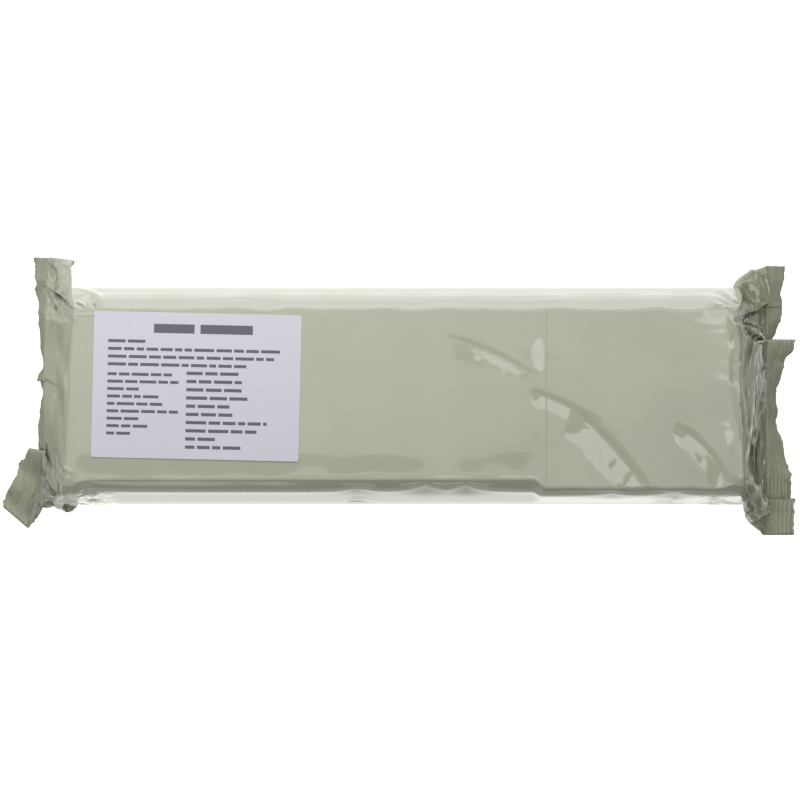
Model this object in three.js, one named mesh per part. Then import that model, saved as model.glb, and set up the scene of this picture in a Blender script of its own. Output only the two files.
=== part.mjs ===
// A loaf of pistachio halva, shut in a tight film tube with a crimped seal at each end, and a paper label.
// Millimetres, +Z up. The loaf lies on its wide base with its length along X, and the label is on top.
// The origin is on the ground, under the middle of the pack's box.
import * as THREE from "three";

// The loaf: a long block whose sides lean outwards to its base, with a bevel along the front of its top.
const HEIGHT = 60;
const TOP_HALF_WIDTH = 44;
const SHOULDER_HALF_WIDTH = 50.5;
const SHOULDER_HEIGHT = { back: 36, front: 54.5 };
const BASE_HALF_WIDTH = 56;
const TOP_EDGE = 1.5; // rounding along the top
const BASE_EDGE = 4; // rounding along the base
const END_LEAN = 8; // how much further out the base reaches than the top, at each end
const TOP_END_X = { left: -167, right: 174 };
const END_SKEW = { left: 0.058, right: -0.045 }; // X moved per millimetre of y, at an end face

// The end seals: both layers of film pressed into one ribbed band.
const SEAL_THICKNESS = 1;
const RIB_HEIGHT = 0.6;
const RIB_COUNT = 7;

// The course of each seal, at stations from its back corner (+Y) to its front corner (-Y).
// at: share of the way; x, y, z: the band's root; drop: degrees that the band hangs below level;
// turn: degrees that its outward direction swings towards +Y; band: its width to the cut edge.
const SEALS = {
  left: [
    { at: 0.0, x: -180, y: 70.5, z: 24, drop: 62, turn: 4, band: 16 },
    { at: 0.14, x: -179, y: 56, z: 34, drop: 66, turn: 0, band: 16 },
    { at: 0.28, x: -179, y: 38, z: 50, drop: 78, turn: 0, band: 16 },
    { at: 0.45, x: -179, y: 15, z: 52, drop: 82, turn: 0, band: 15.5 },
    { at: 0.6, x: -179, y: -4, z: 52, drop: 82, turn: 0, band: 16 },
    { at: 0.75, x: -179.5, y: -25, z: 49, drop: 76, turn: 0, band: 16.5 },
    { at: 0.88, x: -181, y: -47, z: 32, drop: 20, turn: 36, band: 17 },
    { at: 1.0, x: -189, y: -67.5, z: 22, drop: 4, turn: 40, band: 17 },
  ],
  right: [
    { at: 0.0, x: 188, y: 66.5, z: 24, drop: 48, turn: 0, band: 16.5 },
    { at: 0.12, x: 187.5, y: 50, z: 26, drop: 60, turn: 0, band: 16.5 },
    { at: 0.27, x: 187.5, y: 30, z: 27, drop: 74, turn: 0, band: 16 },
    { at: 0.33, x: 187.5, y: 24, z: 27, drop: 34, turn: 0, band: 17 },
    { at: 0.46, x: 187.5, y: 8, z: 27, drop: 66, turn: 0, band: 16.5 },
    { at: 0.62, x: 187.5, y: -14, z: 27, drop: 66, turn: 0, band: 16.5 },
    { at: 0.82, x: 187.5, y: -44, z: 27, drop: 36, turn: 0, band: 16.5 },
    { at: 1.0, x: 186.7, y: -71, z: 23, drop: 22, turn: 0, band: 16.5 },
  ],
};

// The label: a paper rectangle stuck flat on the loaf's top.
const LABEL_LENGTH = 105;
const LABEL_WIDTH = 74;
const LABEL_THICKNESS = 0.3;
const LABEL_CORNER = 1;
const LABEL_CENTRE = { x: -102, y: 5 };
const LABEL_TURN = -1.3; // degrees

// Mesh steps.
const SIDE_STEPS = 5;
const CORNER_STEPS = 2;
const FACE_STEPS = 20;
const BODY_STEPS = 12;
const END_STEPS = 5;
const LABEL_CORNER_STEPS = 4;

const degrees = THREE.MathUtils.degToRad;

// Evenly spaced points from a up to, but not including, b.
function line(a, b, steps) {
  return Array.from({ length: steps }, (_, i) => a.clone().lerp(b, i / steps));
}

// Points round a corner that starts at a, bends at corner and ends just before b.
function bend(a, corner, b, steps) {
  const curve = new THREE.QuadraticBezierCurve(a, corner, b);
  return Array.from({ length: steps }, (_, i) => curve.getPoint(i / steps));
}

// The point at a distance from corner towards other.
function near(corner, other, distance) {
  const way = other.clone().sub(corner).setLength(distance);
  return corner.clone().add(way);
}

// Half of the loaf's cross-section as (y, z), from the +Y side to the -Y side, over the top or the base.
function halfSection(overTop) {
  const backSide = new THREE.Vector2(SHOULDER_HALF_WIDTH, SHOULDER_HEIGHT.back);
  const frontSide = new THREE.Vector2(-SHOULDER_HALF_WIDTH, SHOULDER_HEIGHT.front);
  const half = overTop ? TOP_HALF_WIDTH : BASE_HALF_WIDTH;
  const level = overTop ? HEIGHT : 0;
  const edge = overTop ? TOP_EDGE : BASE_EDGE;
  const back = new THREE.Vector2(half, level);
  const front = new THREE.Vector2(-half, level);
  const backIn = near(back, backSide, edge);
  const backOut = near(back, front, edge);
  const frontIn = near(front, back, edge);
  const frontOut = near(front, frontSide, edge);
  return [
    ...line(backSide, backIn, SIDE_STEPS),
    ...bend(backIn, back, backOut, CORNER_STEPS),
    ...line(backOut, frontIn, FACE_STEPS),
    ...bend(frontIn, front, frontOut, CORNER_STEPS),
    ...line(frontOut, frontSide, SIDE_STEPS),
    frontSide,
  ];
}

// The share of the whole way along a run of points, at each point.
function shares(points) {
  const lengths = [0];
  for (let i = 1; i < points.length; i += 1) {
    lengths.push(lengths[i - 1] + points[i].distanceTo(points[i - 1]));
  }
  return lengths.map((length) => length / lengths[lengths.length - 1]);
}

// The closed cross-section: over the top from +Y to -Y, then back under the base.
// Each point knows its share of the way from +Y to -Y and which layer of the film it lies in.
function sectionRing() {
  const over = halfSection(true);
  const under = halfSection(false);
  const overShares = shares(over);
  const underShares = shares(under);
  const ring = over.map((p, i) => ({ y: p.x, z: p.y, share: overShares[i], layer: 1 }));
  for (let i = under.length - 2; i > 0; i -= 1) {
    ring.push({ y: under[i].x, z: under[i].y, share: underShares[i], layer: -1 });
  }
  ring[0].layer = 0;
  ring[over.length - 1].layer = 0;
  return ring;
}

// A seal's values at a share of the way along it, eased between its stations.
function sealAt(stations, share) {
  const next = Math.max(1, stations.findIndex((station) => station.at >= share));
  const [a, b] = [stations[next - 1], stations[next]];
  const eased = THREE.MathUtils.smoothstep(share, a.at, b.at);
  const value = (key) => THREE.MathUtils.lerp(a[key], b[key], eased);
  const along = (share - a.at) / (b.at - a.at);
  return {
    root: new THREE.Vector3(value("x"), THREE.MathUtils.lerp(a.y, b.y, along), value("z")),
    drop: degrees(value("drop")),
    turn: degrees(value("turn")),
    band: value("band"),
  };
}

// A point of the sealed band: across is 0 at the root and 1 at the cut edge, lift is off the band's middle.
function bandPoint(end, share, across, lift) {
  const outward = end === "left" ? -1 : 1;
  const { root, drop, turn, band } = sealAt(SEALS[end], share);
  const level = new THREE.Vector3(outward * Math.cos(turn), Math.sin(turn), 0);
  const way = level.clone().multiplyScalar(Math.cos(drop)).setZ(-Math.sin(drop));
  const normal = level.clone().multiplyScalar(Math.sin(drop)).setZ(Math.cos(drop));
  return root.addScaledVector(way, across * band).addScaledVector(normal, lift);
}

// A ring of the sealed band, offset from its middle so that the rings together make the crimp's ribs.
function bandRing(section, end, step) {
  const steps = 2 * RIB_COUNT;
  const rib = step % 2 === 0 ? -RIB_HEIGHT / 2 : RIB_HEIGHT / 2;
  return section.map(({ share, layer }) =>
    bandPoint(end, share, step / steps, rib + (layer * SEAL_THICKNESS) / 2),
  );
}

// A ring of the loaf, from its left end at 0 to its right end at 1.
function bodyRing(section, way) {
  return section.map(({ y, z }) => {
    const lean = END_LEAN * (1 - z / HEIGHT);
    const left = TOP_END_X.left - lean + END_SKEW.left * y;
    const right = TOP_END_X.right + lean + END_SKEW.right * y;
    return new THREE.Vector3(THREE.MathUtils.lerp(left, right, way), y, z);
  });
}

// A ring part of the way from the loaf's end to the root of the seal.
function endRing(loafEnd, sealRoot, way) {
  return loafEnd.map((point, i) => point.clone().lerp(sealRoot[i], way));
}

// Every ring of the pack, from the left cut edge to the right one.
function packRings() {
  const section = sectionRing();
  const bandSteps = 2 * RIB_COUNT;
  const endOf = (end, way) => {
    const loafEnd = bodyRing(section, way);
    const sealRoot = bandRing(section, end, 0);
    const slope = Array.from({ length: END_STEPS }, (_, i) => endRing(loafEnd, sealRoot, i / END_STEPS));
    const band = Array.from({ length: bandSteps + 1 }, (_, i) => bandRing(section, end, i));
    return [...slope, ...band];
  };
  const body = Array.from({ length: BODY_STEPS - 1 }, (_, i) => bodyRing(section, (i + 1) / BODY_STEPS));
  return [...endOf("left", 0).reverse(), ...body, ...endOf("right", 1)];
}

// One closed skin through all the rings, with a flat cap over the first and last.
function skin(rings) {
  const count = rings[0].length;
  const positions = rings.flat().flatMap((p) => [p.x, p.y, p.z]);
  const faces = [];
  for (let r = 0; r < rings.length - 1; r += 1) {
    for (let i = 0; i < count; i += 1) {
      const [a, b] = [r * count + i, r * count + ((i + 1) % count)];
      faces.push(a, b, b + count, a, b + count, a + count);
    }
  }
  const cap = (first, facing) => {
    for (let i = 0; i < count / 2; i += 1) {
      const [a, b] = [first + i, first + i + 1];
      const [c, d] = [first + ((count - i) % count), first + count - i - 1];
      const corners = facing ? [a, d, b, a, c, d] : [a, b, d, a, d, c];
      for (let k = 0; k < corners.length; k += 3) {
        const [p, q, s] = corners.slice(k, k + 3);
        if (p !== q && q !== s && p !== s) faces.push(p, q, s);
      }
    }
  };
  cap(0, true);
  cap((rings.length - 1) * count, false);
  return new THREE.BufferGeometry()
    .setAttribute("position", new THREE.Float32BufferAttribute(positions, 3))
    .setIndex(faces);
}

// The film-wrapped loaf with its two end seals, all one shut body.
function makePack() {
  const film = new THREE.MeshStandardMaterial({ color: 0xb2b79c, roughness: 0.25, metalness: 0 });
  const pack = new THREE.Mesh(skin(packRings()), film);
  pack.name = "pack";
  return pack;
}

// The outline of the label, centred on the origin.
function labelOutline() {
  const [x, y, r] = [LABEL_LENGTH / 2, LABEL_WIDTH / 2, LABEL_CORNER];
  const shape = new THREE.Shape();
  shape.moveTo(-x + r, -y);
  shape.lineTo(x - r, -y);
  shape.quadraticCurveTo(x, -y, x, -y + r);
  shape.lineTo(x, y - r);
  shape.quadraticCurveTo(x, y, x - r, y);
  shape.lineTo(-x + r, y);
  shape.quadraticCurveTo(-x, y, -x, y - r);
  shape.lineTo(-x, -y + r);
  shape.quadraticCurveTo(-x, -y, -x + r, -y);
  return shape;
}

// The paper label, face to face with the loaf's flat top.
function makeLabel() {
  const paper = new THREE.MeshStandardMaterial({ color: 0xe2e2ea, roughness: 0.6, metalness: 0 });
  const settings = { depth: LABEL_THICKNESS, bevelEnabled: false, curveSegments: LABEL_CORNER_STEPS };
  const label = new THREE.Mesh(new THREE.ExtrudeGeometry(labelOutline(), settings), paper);
  label.name = "label";
  label.position.set(LABEL_CENTRE.x, LABEL_CENTRE.y, HEIGHT);
  label.rotation.z = degrees(LABEL_TURN);
  return label;
}

// Moves the whole pack so that the origin is on the ground under the middle of its box.
function centre(group) {
  group.updateMatrixWorld(true);
  const box = new THREE.Box3().setFromObject(group);
  const middle = box.getCenter(new THREE.Vector3());
  group.position.set(-middle.x, -middle.y, -box.min.z);
}

const halvaPack = new THREE.Group();
halvaPack.add(makePack(), makeLabel());
centre(halvaPack);

export default halvaPack;
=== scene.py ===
"""A block of halva in a shut film wrap with a crimped seal at each end, and a paper label.

Shapes are worked out in millimetres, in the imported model's frame, and turned to metres when a mesh is made.
The film is solved as what it is: a tube of sheet that can't stretch, held by its two seals and by the block.
"""

import logging
from dataclasses import dataclass, field
from enum import Enum
from math import cos, pi, radians, sin

import bpy
import numpy as np
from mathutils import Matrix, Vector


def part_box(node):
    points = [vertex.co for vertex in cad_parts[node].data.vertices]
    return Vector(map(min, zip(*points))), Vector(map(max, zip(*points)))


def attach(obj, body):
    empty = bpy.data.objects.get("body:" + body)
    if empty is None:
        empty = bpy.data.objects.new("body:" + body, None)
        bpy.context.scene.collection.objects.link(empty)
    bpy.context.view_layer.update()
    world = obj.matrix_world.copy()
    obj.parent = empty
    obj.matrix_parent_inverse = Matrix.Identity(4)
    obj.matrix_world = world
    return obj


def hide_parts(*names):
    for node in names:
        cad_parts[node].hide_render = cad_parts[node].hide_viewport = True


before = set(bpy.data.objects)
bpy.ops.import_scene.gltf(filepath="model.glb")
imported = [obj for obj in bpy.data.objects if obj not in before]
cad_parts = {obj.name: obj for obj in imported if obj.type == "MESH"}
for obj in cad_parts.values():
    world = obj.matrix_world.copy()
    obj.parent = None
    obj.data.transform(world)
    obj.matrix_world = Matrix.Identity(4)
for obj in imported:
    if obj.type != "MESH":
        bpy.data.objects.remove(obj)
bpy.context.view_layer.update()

BODY = "root"
MM = 0.001
TINY = 1e-9  # keeps a length that is divided by from being 0

END_SHADE = "end_painted_shade"  # mesh attribute for painted shade: 0 where the film lies on the block, 1 past its right end, a share past its left end
CREASED = "creased"  # mesh attribute: 0 where the film is taut, 1 where it is crumpled into small facets

log = logging.getLogger("halva")

Grid = np.ndarray  # (3, rows, columns): points of a sheet, in millimetres
Points = np.ndarray  # (3, any): points in millimetres
Pair = tuple[float, float]
Socket = bpy.types.NodeSocket


# -----------------------------------------------------------------------------------------------------------
# Small helpers


def linear(code: str) -> tuple[float, float, float, float]:
    """Turns an sRGB hex colour to linear.

    Args:
        code: the colour, such as "b3b7a2".

    Returns:
        Linear red, green and blue, and an alpha of 1.
    """
    parts = [int(code[i : i + 2], 16) / 255 for i in (0, 2, 4)]
    red, green, blue = [v / 12.92 if v <= 0.04045 else ((v + 0.055) / 1.055) ** 2.4 for v in parts]
    return red, green, blue, 1.0


def ease(value: np.ndarray, low: float, high: float) -> np.ndarray:
    """Rises smoothly from 0 at low to 1 at high."""
    share = np.clip((value - low) / (high - low), 0, 1)
    return share * share * (3 - 2 * share)


def ripple(places: Points, wavelength: float, seed: int, waves: int = 24) -> np.ndarray:
    """Smooth noise made of plane waves that run in all directions.

    Args:
        places: where the noise is wanted.
        wavelength: the middle of the waves' lengths, in the unit of places.
        seed: picks the waves.
        waves: how many waves are added up.

    Returns:
        One value for each place, with a spread of about 1.
    """
    draw = np.random.default_rng(seed)
    ways = draw.normal(size=(waves, len(places)))
    ways /= np.linalg.norm(ways, axis=1, keepdims=True)
    turns = ways * (2 * pi / (wavelength * draw.uniform(0.6, 1.6, (waves, 1))))
    phases = draw.uniform(0, 2 * pi, waves)
    flat = places.reshape(len(places), -1)
    total = np.sin(turns @ flat + phases[:, None]).sum(axis=0) * (2 / waves) ** 0.5
    return total.reshape(places.shape[1:])


def crowded(
    low: float, high: float, steps: int, places: list[float], crowd: float, reach: float
) -> np.ndarray:
    """Steps between two values, closer together round some places.

    Args:
        low, high: the first and last value.
        steps: how many steps there are.
        places: where they are closest.
        crowd: how much closer than elsewhere they are there.
        reach: how far from a place they crowd.

    Returns:
        The values, one more than there are steps.
    """
    dense = np.linspace(low, high, 4000)
    total = np.cumsum(1 + crowd * sum(np.exp(-(((dense - place) / reach) ** 2)) for place in places))
    return np.interp(np.linspace(total[0], total[-1], steps + 1), total, dense)


def mesh_object(name: str, points: np.ndarray, faces: list[list[int]], smooth: bool) -> bpy.types.Object:
    """Makes a mesh object of points in millimetres.

    Args:
        name: the piece's name.
        points: (count, 3) points.
        faces: the corner numbers of each face.
        smooth: whether it is shaded smooth.

    Returns:
        The object, linked to the scene, in metres.
    """
    mesh = bpy.data.meshes.new(name)
    mesh.from_pydata((points * MM).tolist(), [], faces)
    mesh.shade_smooth() if smooth else mesh.shade_flat()
    piece = bpy.data.objects.new(name, mesh)
    bpy.context.scene.collection.objects.link(piece)
    return piece


def new_material(name: str) -> tuple[bpy.types.Material, bpy.types.NodeTree]:
    """Starts a material, with no nodes yet.

    Args:
        name: the material's name.

    Returns:
        The material and its empty node tree.
    """
    material = bpy.data.materials.new(name)
    material.use_nodes = True
    material.node_tree.nodes.clear()
    return material, material.node_tree


def add_node(
    tree: bpy.types.NodeTree, kind: str, settings: dict | None = None, *first: object, **inputs: object
) -> bpy.types.Node:
    """Adds a node to a material.

    Args:
        tree: the material's node tree.
        kind: the node's type name.
        settings: the node's own properties.
        first: its first sockets in order, each a value or an output socket to link from.
        inputs: its sockets by name, with _ for a space, in the same way.

    Returns:
        The new node.
    """
    node = tree.nodes.new(kind)
    for key, value in (settings or {}).items():
        setattr(node, key, value)
    pairs = list(zip(node.inputs, first))
    for key, value in inputs.items():
        pairs.append((next(s for s in node.inputs if s.name == key.replace("_", " ") and s.enabled), value))
    for socket, value in pairs:
        if isinstance(value, Socket):
            tree.links.new(value, socket)
        else:
            socket.default_value = value
    return node


# -----------------------------------------------------------------------------------------------------------
# Finishes


@dataclass(frozen=True)
class PackingFilm:
    """Pigmented, biaxially stretched polypropylene film: opaque, sage green and glossy.

    Past the block's ends it is a little darker and greener: painted shade, and partly the film's own tone over
    air. Where it is crumpled it breaks into small flat facets with sharp pale glints.
    """

    name: str = "packing_film"
    on_halva: str = "a8ac99"
    # painted shade: the darker, greener colour given to the film past the block's ends, partly its own tone
    # over air
    over_air: str = "8b9279"
    roughness: float = 0.05
    shine: float = 0.5
    ior: float = 1.5
    cloud_mm: float = 26.0  # size of the paler and darker clouds in the pigment
    cloud_spread: float = 0.03
    cloud_range: Pair = (0.3, 0.7)  # what the clouds' noise mostly spans
    facets: tuple[Pair, ...] = ((7.0, 0.52), (2.4, 0.40))  # size in mm, and how far they tilt
    facet_stretch: tuple[float, float, float] = (1.0, 0.35, 1.0)
    facet_middle: tuple[float, float, float] = (0.5, 0.5, 0.5)  # of the random steps
    crinkle_mm: float = 3.0
    crinkle_height_mm: float = 0.05
    crinkle_strength: float = 0.12

    @classmethod
    def crimped(cls) -> "PackingFilm":
        """The same film crimped double in a seal: duller, as the jaws leave its surface finely uneven."""
        return cls(name="crimped_film", on_halva="acb099", over_air="acb099", roughness=0.26, shine=0.1)

    def facet_normal(self, tree: bpy.types.NodeTree, place: Socket) -> Socket:
        """Tilts the surface's direction by a random step for each facet, as far as the film is creased.

        Args:
            tree: the material's node tree.
            place: the point's own coordinates.

        Returns:
            The tilted direction.
        """
        vector = "ShaderNodeVectorMath"
        creased = add_node(tree, "ShaderNodeAttribute", {"attribute_name": CREASED}).outputs["Fac"]
        stretched = add_node(tree, vector, {"operation": "MULTIPLY"}, place, self.facet_stretch)
        normal = add_node(tree, "ShaderNodeNewGeometry").outputs["Normal"]
        for size, tilt in self.facets:
            cell = add_node(
                tree, "ShaderNodeTexVoronoi", Vector=stretched.outputs["Vector"], Scale=1 / (size * MM)
            ).outputs["Color"]
            amount = add_node(tree, "ShaderNodeMapRange", Value=creased, To_Min=0.0, To_Max=tilt)
            lean = add_node(tree, vector, {"operation": "SUBTRACT"}, cell, self.facet_middle)
            inputs = {"Vector": lean.outputs["Vector"], "Scale": amount.outputs["Result"]}
            step = add_node(tree, vector, {"operation": "SCALE"}, **inputs).outputs["Vector"]
            normal = add_node(tree, vector, {"operation": "ADD"}, normal, step).outputs["Vector"]
        return add_node(tree, vector, {"operation": "NORMALIZE"}, Vector=normal).outputs["Vector"]

    def pigment(self, tree: bpy.types.NodeTree) -> Socket | tuple[float, ...]:
        """The film's colour before its clouds.

        Args:
            tree: the material's node tree.

        Returns:
            A mix of the two colours by the painted end shade, or the one colour where they are the same.
        """
        if self.on_halva == self.over_air:
            return linear(self.on_halva)[:3]
        # painted shade: the film's colour is darkened towards the end colour by the end-shade attribute
        shaded = add_node(tree, "ShaderNodeAttribute", {"attribute_name": END_SHADE}).outputs["Fac"]
        both = {"A": linear(self.on_halva), "B": linear(self.over_air)}
        return add_node(tree, "ShaderNodeMix", {"data_type": "RGBA"}, Factor=shaded, **both).outputs["Result"]

    def make(self) -> bpy.types.Material:
        """Builds the material.

        Returns:
            The material.
        """
        material, tree = new_material(self.name)
        place = add_node(tree, "ShaderNodeTexCoord").outputs["Object"]
        cloud = add_node(tree, "ShaderNodeTexNoise", Vector=place, Scale=1 / (self.cloud_mm * MM), Detail=3.0)
        tint = add_node(
            tree,
            "ShaderNodeMapRange",
            Value=cloud.outputs["Fac"],
            From_Min=self.cloud_range[0],
            From_Max=self.cloud_range[1],
            To_Min=1 - self.cloud_spread,
            To_Max=1 + self.cloud_spread,
        )
        shade = add_node(
            tree,
            "ShaderNodeVectorMath",
            {"operation": "SCALE"},
            Vector=self.pigment(tree),
            Scale=tint.outputs["Result"],
        )
        crinkle = add_node(
            tree, "ShaderNodeTexNoise", Vector=place, Scale=1 / (self.crinkle_mm * MM), Detail=2.0
        )
        bump = add_node(
            tree,
            "ShaderNodeBump",
            Height=crinkle.outputs["Fac"],
            Strength=self.crinkle_strength,
            Distance=self.crinkle_height_mm * MM,
            Normal=self.facet_normal(tree, place),
        )
        skin = add_node(
            tree,
            "ShaderNodeBsdfPrincipled",
            Base_Color=shade.outputs["Vector"],
            Roughness=self.roughness,
            IOR=self.ior,
            Specular_IOR_Level=self.shine,
            Normal=bump.outputs["Normal"],
        )
        add_node(tree, "ShaderNodeOutputMaterial", Surface=skin.outputs["BSDF"])
        return material


@dataclass(frozen=True)
class LabelPaper:
    """Smooth coated label paper: white with a cool cast, matt, with a faint grain of its fibres."""

    white: str = "c9c9d1"
    shadow: str = "c2c2cb"
    roughness: float = 0.55
    fibre_mm: float = 1.2
    fibre_height_mm: float = 0.02
    fibre_strength: float = 0.05

    def make(self) -> bpy.types.Material:
        """Builds the material.

        Returns:
            The material.
        """
        material, tree = new_material("label_paper")
        place = add_node(tree, "ShaderNodeTexCoord").outputs["Object"]
        grain = add_node(
            tree, "ShaderNodeTexNoise", Vector=place, Scale=1 / (self.fibre_mm * MM), Detail=4.0
        ).outputs["Fac"]
        colour = add_node(
            tree,
            "ShaderNodeMix",
            {"data_type": "RGBA"},
            Factor=grain,
            A=linear(self.shadow),
            B=linear(self.white),
        ).outputs["Result"]
        bump = add_node(
            tree,
            "ShaderNodeBump",
            Height=grain,
            Strength=self.fibre_strength,
            Distance=self.fibre_height_mm * MM,
        ).outputs["Normal"]
        skin = add_node(
            tree, "ShaderNodeBsdfPrincipled", Base_Color=colour, Roughness=self.roughness, Normal=bump
        )
        add_node(tree, "ShaderNodeOutputMaterial", Surface=skin.outputs["BSDF"])
        return material


@dataclass(frozen=True)
class ThermalInk:
    """Thermal transfer print: a thin dark layer, a little uneven where the ribbon left less."""

    dark: str = "50505a"
    worn: str = "66666f"
    roughness: float = 0.5
    wear_mm: float = 0.8

    def make(self) -> bpy.types.Material:
        """Builds the material.

        Returns:
            The material.
        """
        material, tree = new_material("thermal_ink")
        place = add_node(tree, "ShaderNodeTexCoord").outputs["Object"]
        wear = add_node(
            tree, "ShaderNodeTexNoise", Vector=place, Scale=1 / (self.wear_mm * MM), Detail=2.0
        ).outputs["Fac"]
        both = {"A": linear(self.dark), "B": linear(self.worn)}
        colour = add_node(tree, "ShaderNodeMix", {"data_type": "RGBA"}, Factor=wear, **both).outputs["Result"]
        skin = add_node(tree, "ShaderNodeBsdfPrincipled", Base_Color=colour, Roughness=self.roughness)
        add_node(tree, "ShaderNodeOutputMaterial", Surface=skin.outputs["BSDF"])
        return material


@dataclass(frozen=True)
class LitAcrylic:
    """Opal acrylic of a light table: matt and white, with an even light of its own."""

    base: str = "808080"
    glow: str = "fffff6"
    glow_strength: float = 1.2
    roughness: float = 0.6

    def make(self) -> bpy.types.Material:
        """Builds the material.

        Returns:
            The material.
        """
        material, tree = new_material("white_acrylic")
        skin = add_node(
            tree,
            "ShaderNodeBsdfPrincipled",
            Base_Color=linear(self.base),
            Roughness=self.roughness,
            Emission_Color=linear(self.glow),
            Emission_Strength=self.glow_strength,
        )
        add_node(tree, "ShaderNodeOutputMaterial", Surface=skin.outputs["BSDF"])
        return material


# -----------------------------------------------------------------------------------------------------------
# The block inside the film


class End(Enum):
    """The two ends of the pack; the value is the way out along X."""

    LEFT = -1
    RIGHT = 1


@dataclass
class Block:
    """The block of halva: a long bar whose sides lean outwards from its top to its base.

    Only its outside matters here, as the film lies on it. Lengths are in millimetres.
    """

    height: float = 60.0
    top_half: float = 44.0
    shoulder_half: float = 50.5
    far_shoulder: float = 36.0
    near_shoulder: float = 54.5
    base_half: float = 56.0
    end_lean: float = 8.0
    left_end: float = -167.0
    right_end: float = 174.0
    left_skew: float = 0.058
    right_skew: float = -0.045
    top_edge: float = 0.7
    near_shoulder_edge: float = 3.0
    far_shoulder_edge: float = 11.0
    base_edge: float = 4.0
    edge_steps: int = 8
    rounding: float = 1.2
    outline_start: float = 0.25  # how far round from the +Y side the outline starts, at the middle of the top
    outline: np.ndarray = field(init=False)
    lengths: np.ndarray = field(init=False)
    perimeter: float = field(init=False)

    def __post_init__(self) -> None:
        """Works out the cross-section's outline, from the middle of the top towards -Y and right round."""
        corners = [
            ((-self.top_half, self.height), self.top_edge),
            ((-self.shoulder_half, self.near_shoulder), self.near_shoulder_edge),
            ((-self.base_half, 0.0), self.base_edge),
            ((self.base_half, 0.0), self.base_edge),
            ((self.shoulder_half, self.far_shoulder), self.far_shoulder_edge),
            ((self.top_half, self.height), self.top_edge),
        ]
        points = [np.array([0.0, self.height])]
        for k, (corner, reach) in enumerate(corners):
            here = np.array(corner)
            before = np.array(corners[k - 1][0]) - here
            after = np.array(corners[(k + 1) % len(corners)][0]) - here
            start = here + before / np.linalg.norm(before) * reach
            stop = here + after / np.linalg.norm(after) * reach
            for t in np.linspace(0, 1, self.edge_steps + 1):
                points.append((1 - t) ** 2 * start + 2 * t * (1 - t) * here + t * t * stop)
        points.append(points[0])
        self.outline = np.array(points)
        steps = np.linalg.norm(np.diff(self.outline, axis=0), axis=1)
        self.lengths = np.concatenate([[0], np.cumsum(steps)])
        self.perimeter = float(self.lengths[-1])

    def section(self, share: np.ndarray) -> np.ndarray:
        """Points round the cross-section.

        Args:
            share: how far round each point lies, from 0 to 1.

        Returns:
            Their y and z, from the +Y side over the top to the -Y side and back under the base.
        """
        place = (share - self.outline_start) % 1 * self.perimeter
        return np.stack([np.interp(place, self.lengths, self.outline[:, k]) for k in (0, 1)])

    def shares(self, columns: int, crowd: float = 3.5, reach: float = 1.8) -> np.ndarray:
        """Where round the cross-section the columns of points lie: closest together at the edges of the top.

        Args:
            columns: how many columns, an even number.
            crowd: how much closer than elsewhere they are at an edge.
            reach: how far from an edge they crowd, in millimetres.

        Returns:
            A share for each column, mirrored in the lower half so that the layers of a seal match.
        """
        bevel = float(np.hypot(self.shoulder_half - self.top_half, self.height - self.near_shoulder))
        middle = self.perimeter * self.outline_start
        edges = [middle + place for place in (-self.top_half, self.top_half, self.top_half + bevel)]
        upper = crowded(0, self.perimeter / 2, columns // 2, edges, crowd, reach) / self.perimeter
        return np.concatenate([upper, 1 - upper[-2:0:-1]])

    def end_x(self, end: End) -> float:
        """Where the top of the block ends."""
        return self.left_end if end is End.LEFT else self.right_end

    def skew(self, end: End) -> float:
        """How far an end face moves along X for each millimetre of y."""
        return self.left_skew if end is End.LEFT else self.right_skew

    def face_x(self, end: End, y: np.ndarray, z: np.ndarray) -> np.ndarray:
        """Where an end face of the block lies along X, at some heights and distances across."""
        return self.end_x(end) + end.value * self.end_lean * (1 - z / self.height) + self.skew(end) * y

    def planes(self) -> list[tuple[np.ndarray, float]]:
        """The planes of the block's sides.

        Returns:
            For each side, its outward direction and its distance from the origin.
        """
        sides = [((0, 0, 1), self.height), ((0, 0, -1), 0.0)]
        for way, shoulder in ((-1, self.near_shoulder), (1, self.far_shoulder)):
            corners = [(self.top_half, self.height), (self.shoulder_half, shoulder), (self.base_half, 0.0)]
            for (y0, z0), (y1, z1) in zip(corners, corners[1:]):
                sides.append(((0, way * (z0 - z1), y1 - y0), y0 * (z0 - z1) + z0 * (y1 - y0)))
        for end in End:
            reach = end.value * self.end_x(end) + self.end_lean
            sides.append(((end.value, -end.value * self.skew(end), self.end_lean / self.height), reach))
        found = []
        for way, distance in sides:
            size = float(np.linalg.norm(way))
            found.append((np.array(way) / size, distance / size))
        return found

    def push_out(self, points: Points, before: Points, grip: float) -> None:
        """Moves points that are inside the block out to its surface.

        Args:
            points: the points, changed in place.
            before: where they were a step ago.
            grip: how much of their slide along the surface is held back.
        """
        total = np.zeros_like(points)
        deepest = np.full(points.shape[1:], -np.inf)
        nearest = np.zeros_like(points)
        for way, distance in self.planes():
            way = way.reshape(3, *([1] * (points.ndim - 1)))
            gap = (points * way).sum(axis=0) - (distance - self.rounding)
            total += way * np.maximum(gap, 0)
            better = gap > deepest
            deepest = np.where(better, gap, deepest)
            nearest = np.where(better, way, nearest)
        size = np.sqrt((total * total).sum(axis=0))
        outside = size > 0
        normal = np.where(outside, total / np.maximum(size, TINY), nearest)
        depth = self.rounding - np.where(outside, size, deepest)
        hit = depth > 0
        points += normal * np.where(hit, depth, 0)
        slide = points - before
        slide -= normal * (slide * normal).sum(axis=0)
        points -= slide * np.where(hit, grip, 0)


# -----------------------------------------------------------------------------------------------------------
# The end seals


@dataclass(frozen=True)
class Station:
    """One place along a seal, from its back corner (+Y) to its front corner (-Y).

    at: share of the way; inset: how far its root lies in from the pack's end; y, z: its root; drop: degrees
    that the band hangs below level; turn: degrees that its way out swings towards +Y; band: width to the cut
    edge.
    """

    at: float
    inset: float
    y: float
    z: float
    drop: float
    turn: float
    band: float


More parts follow.
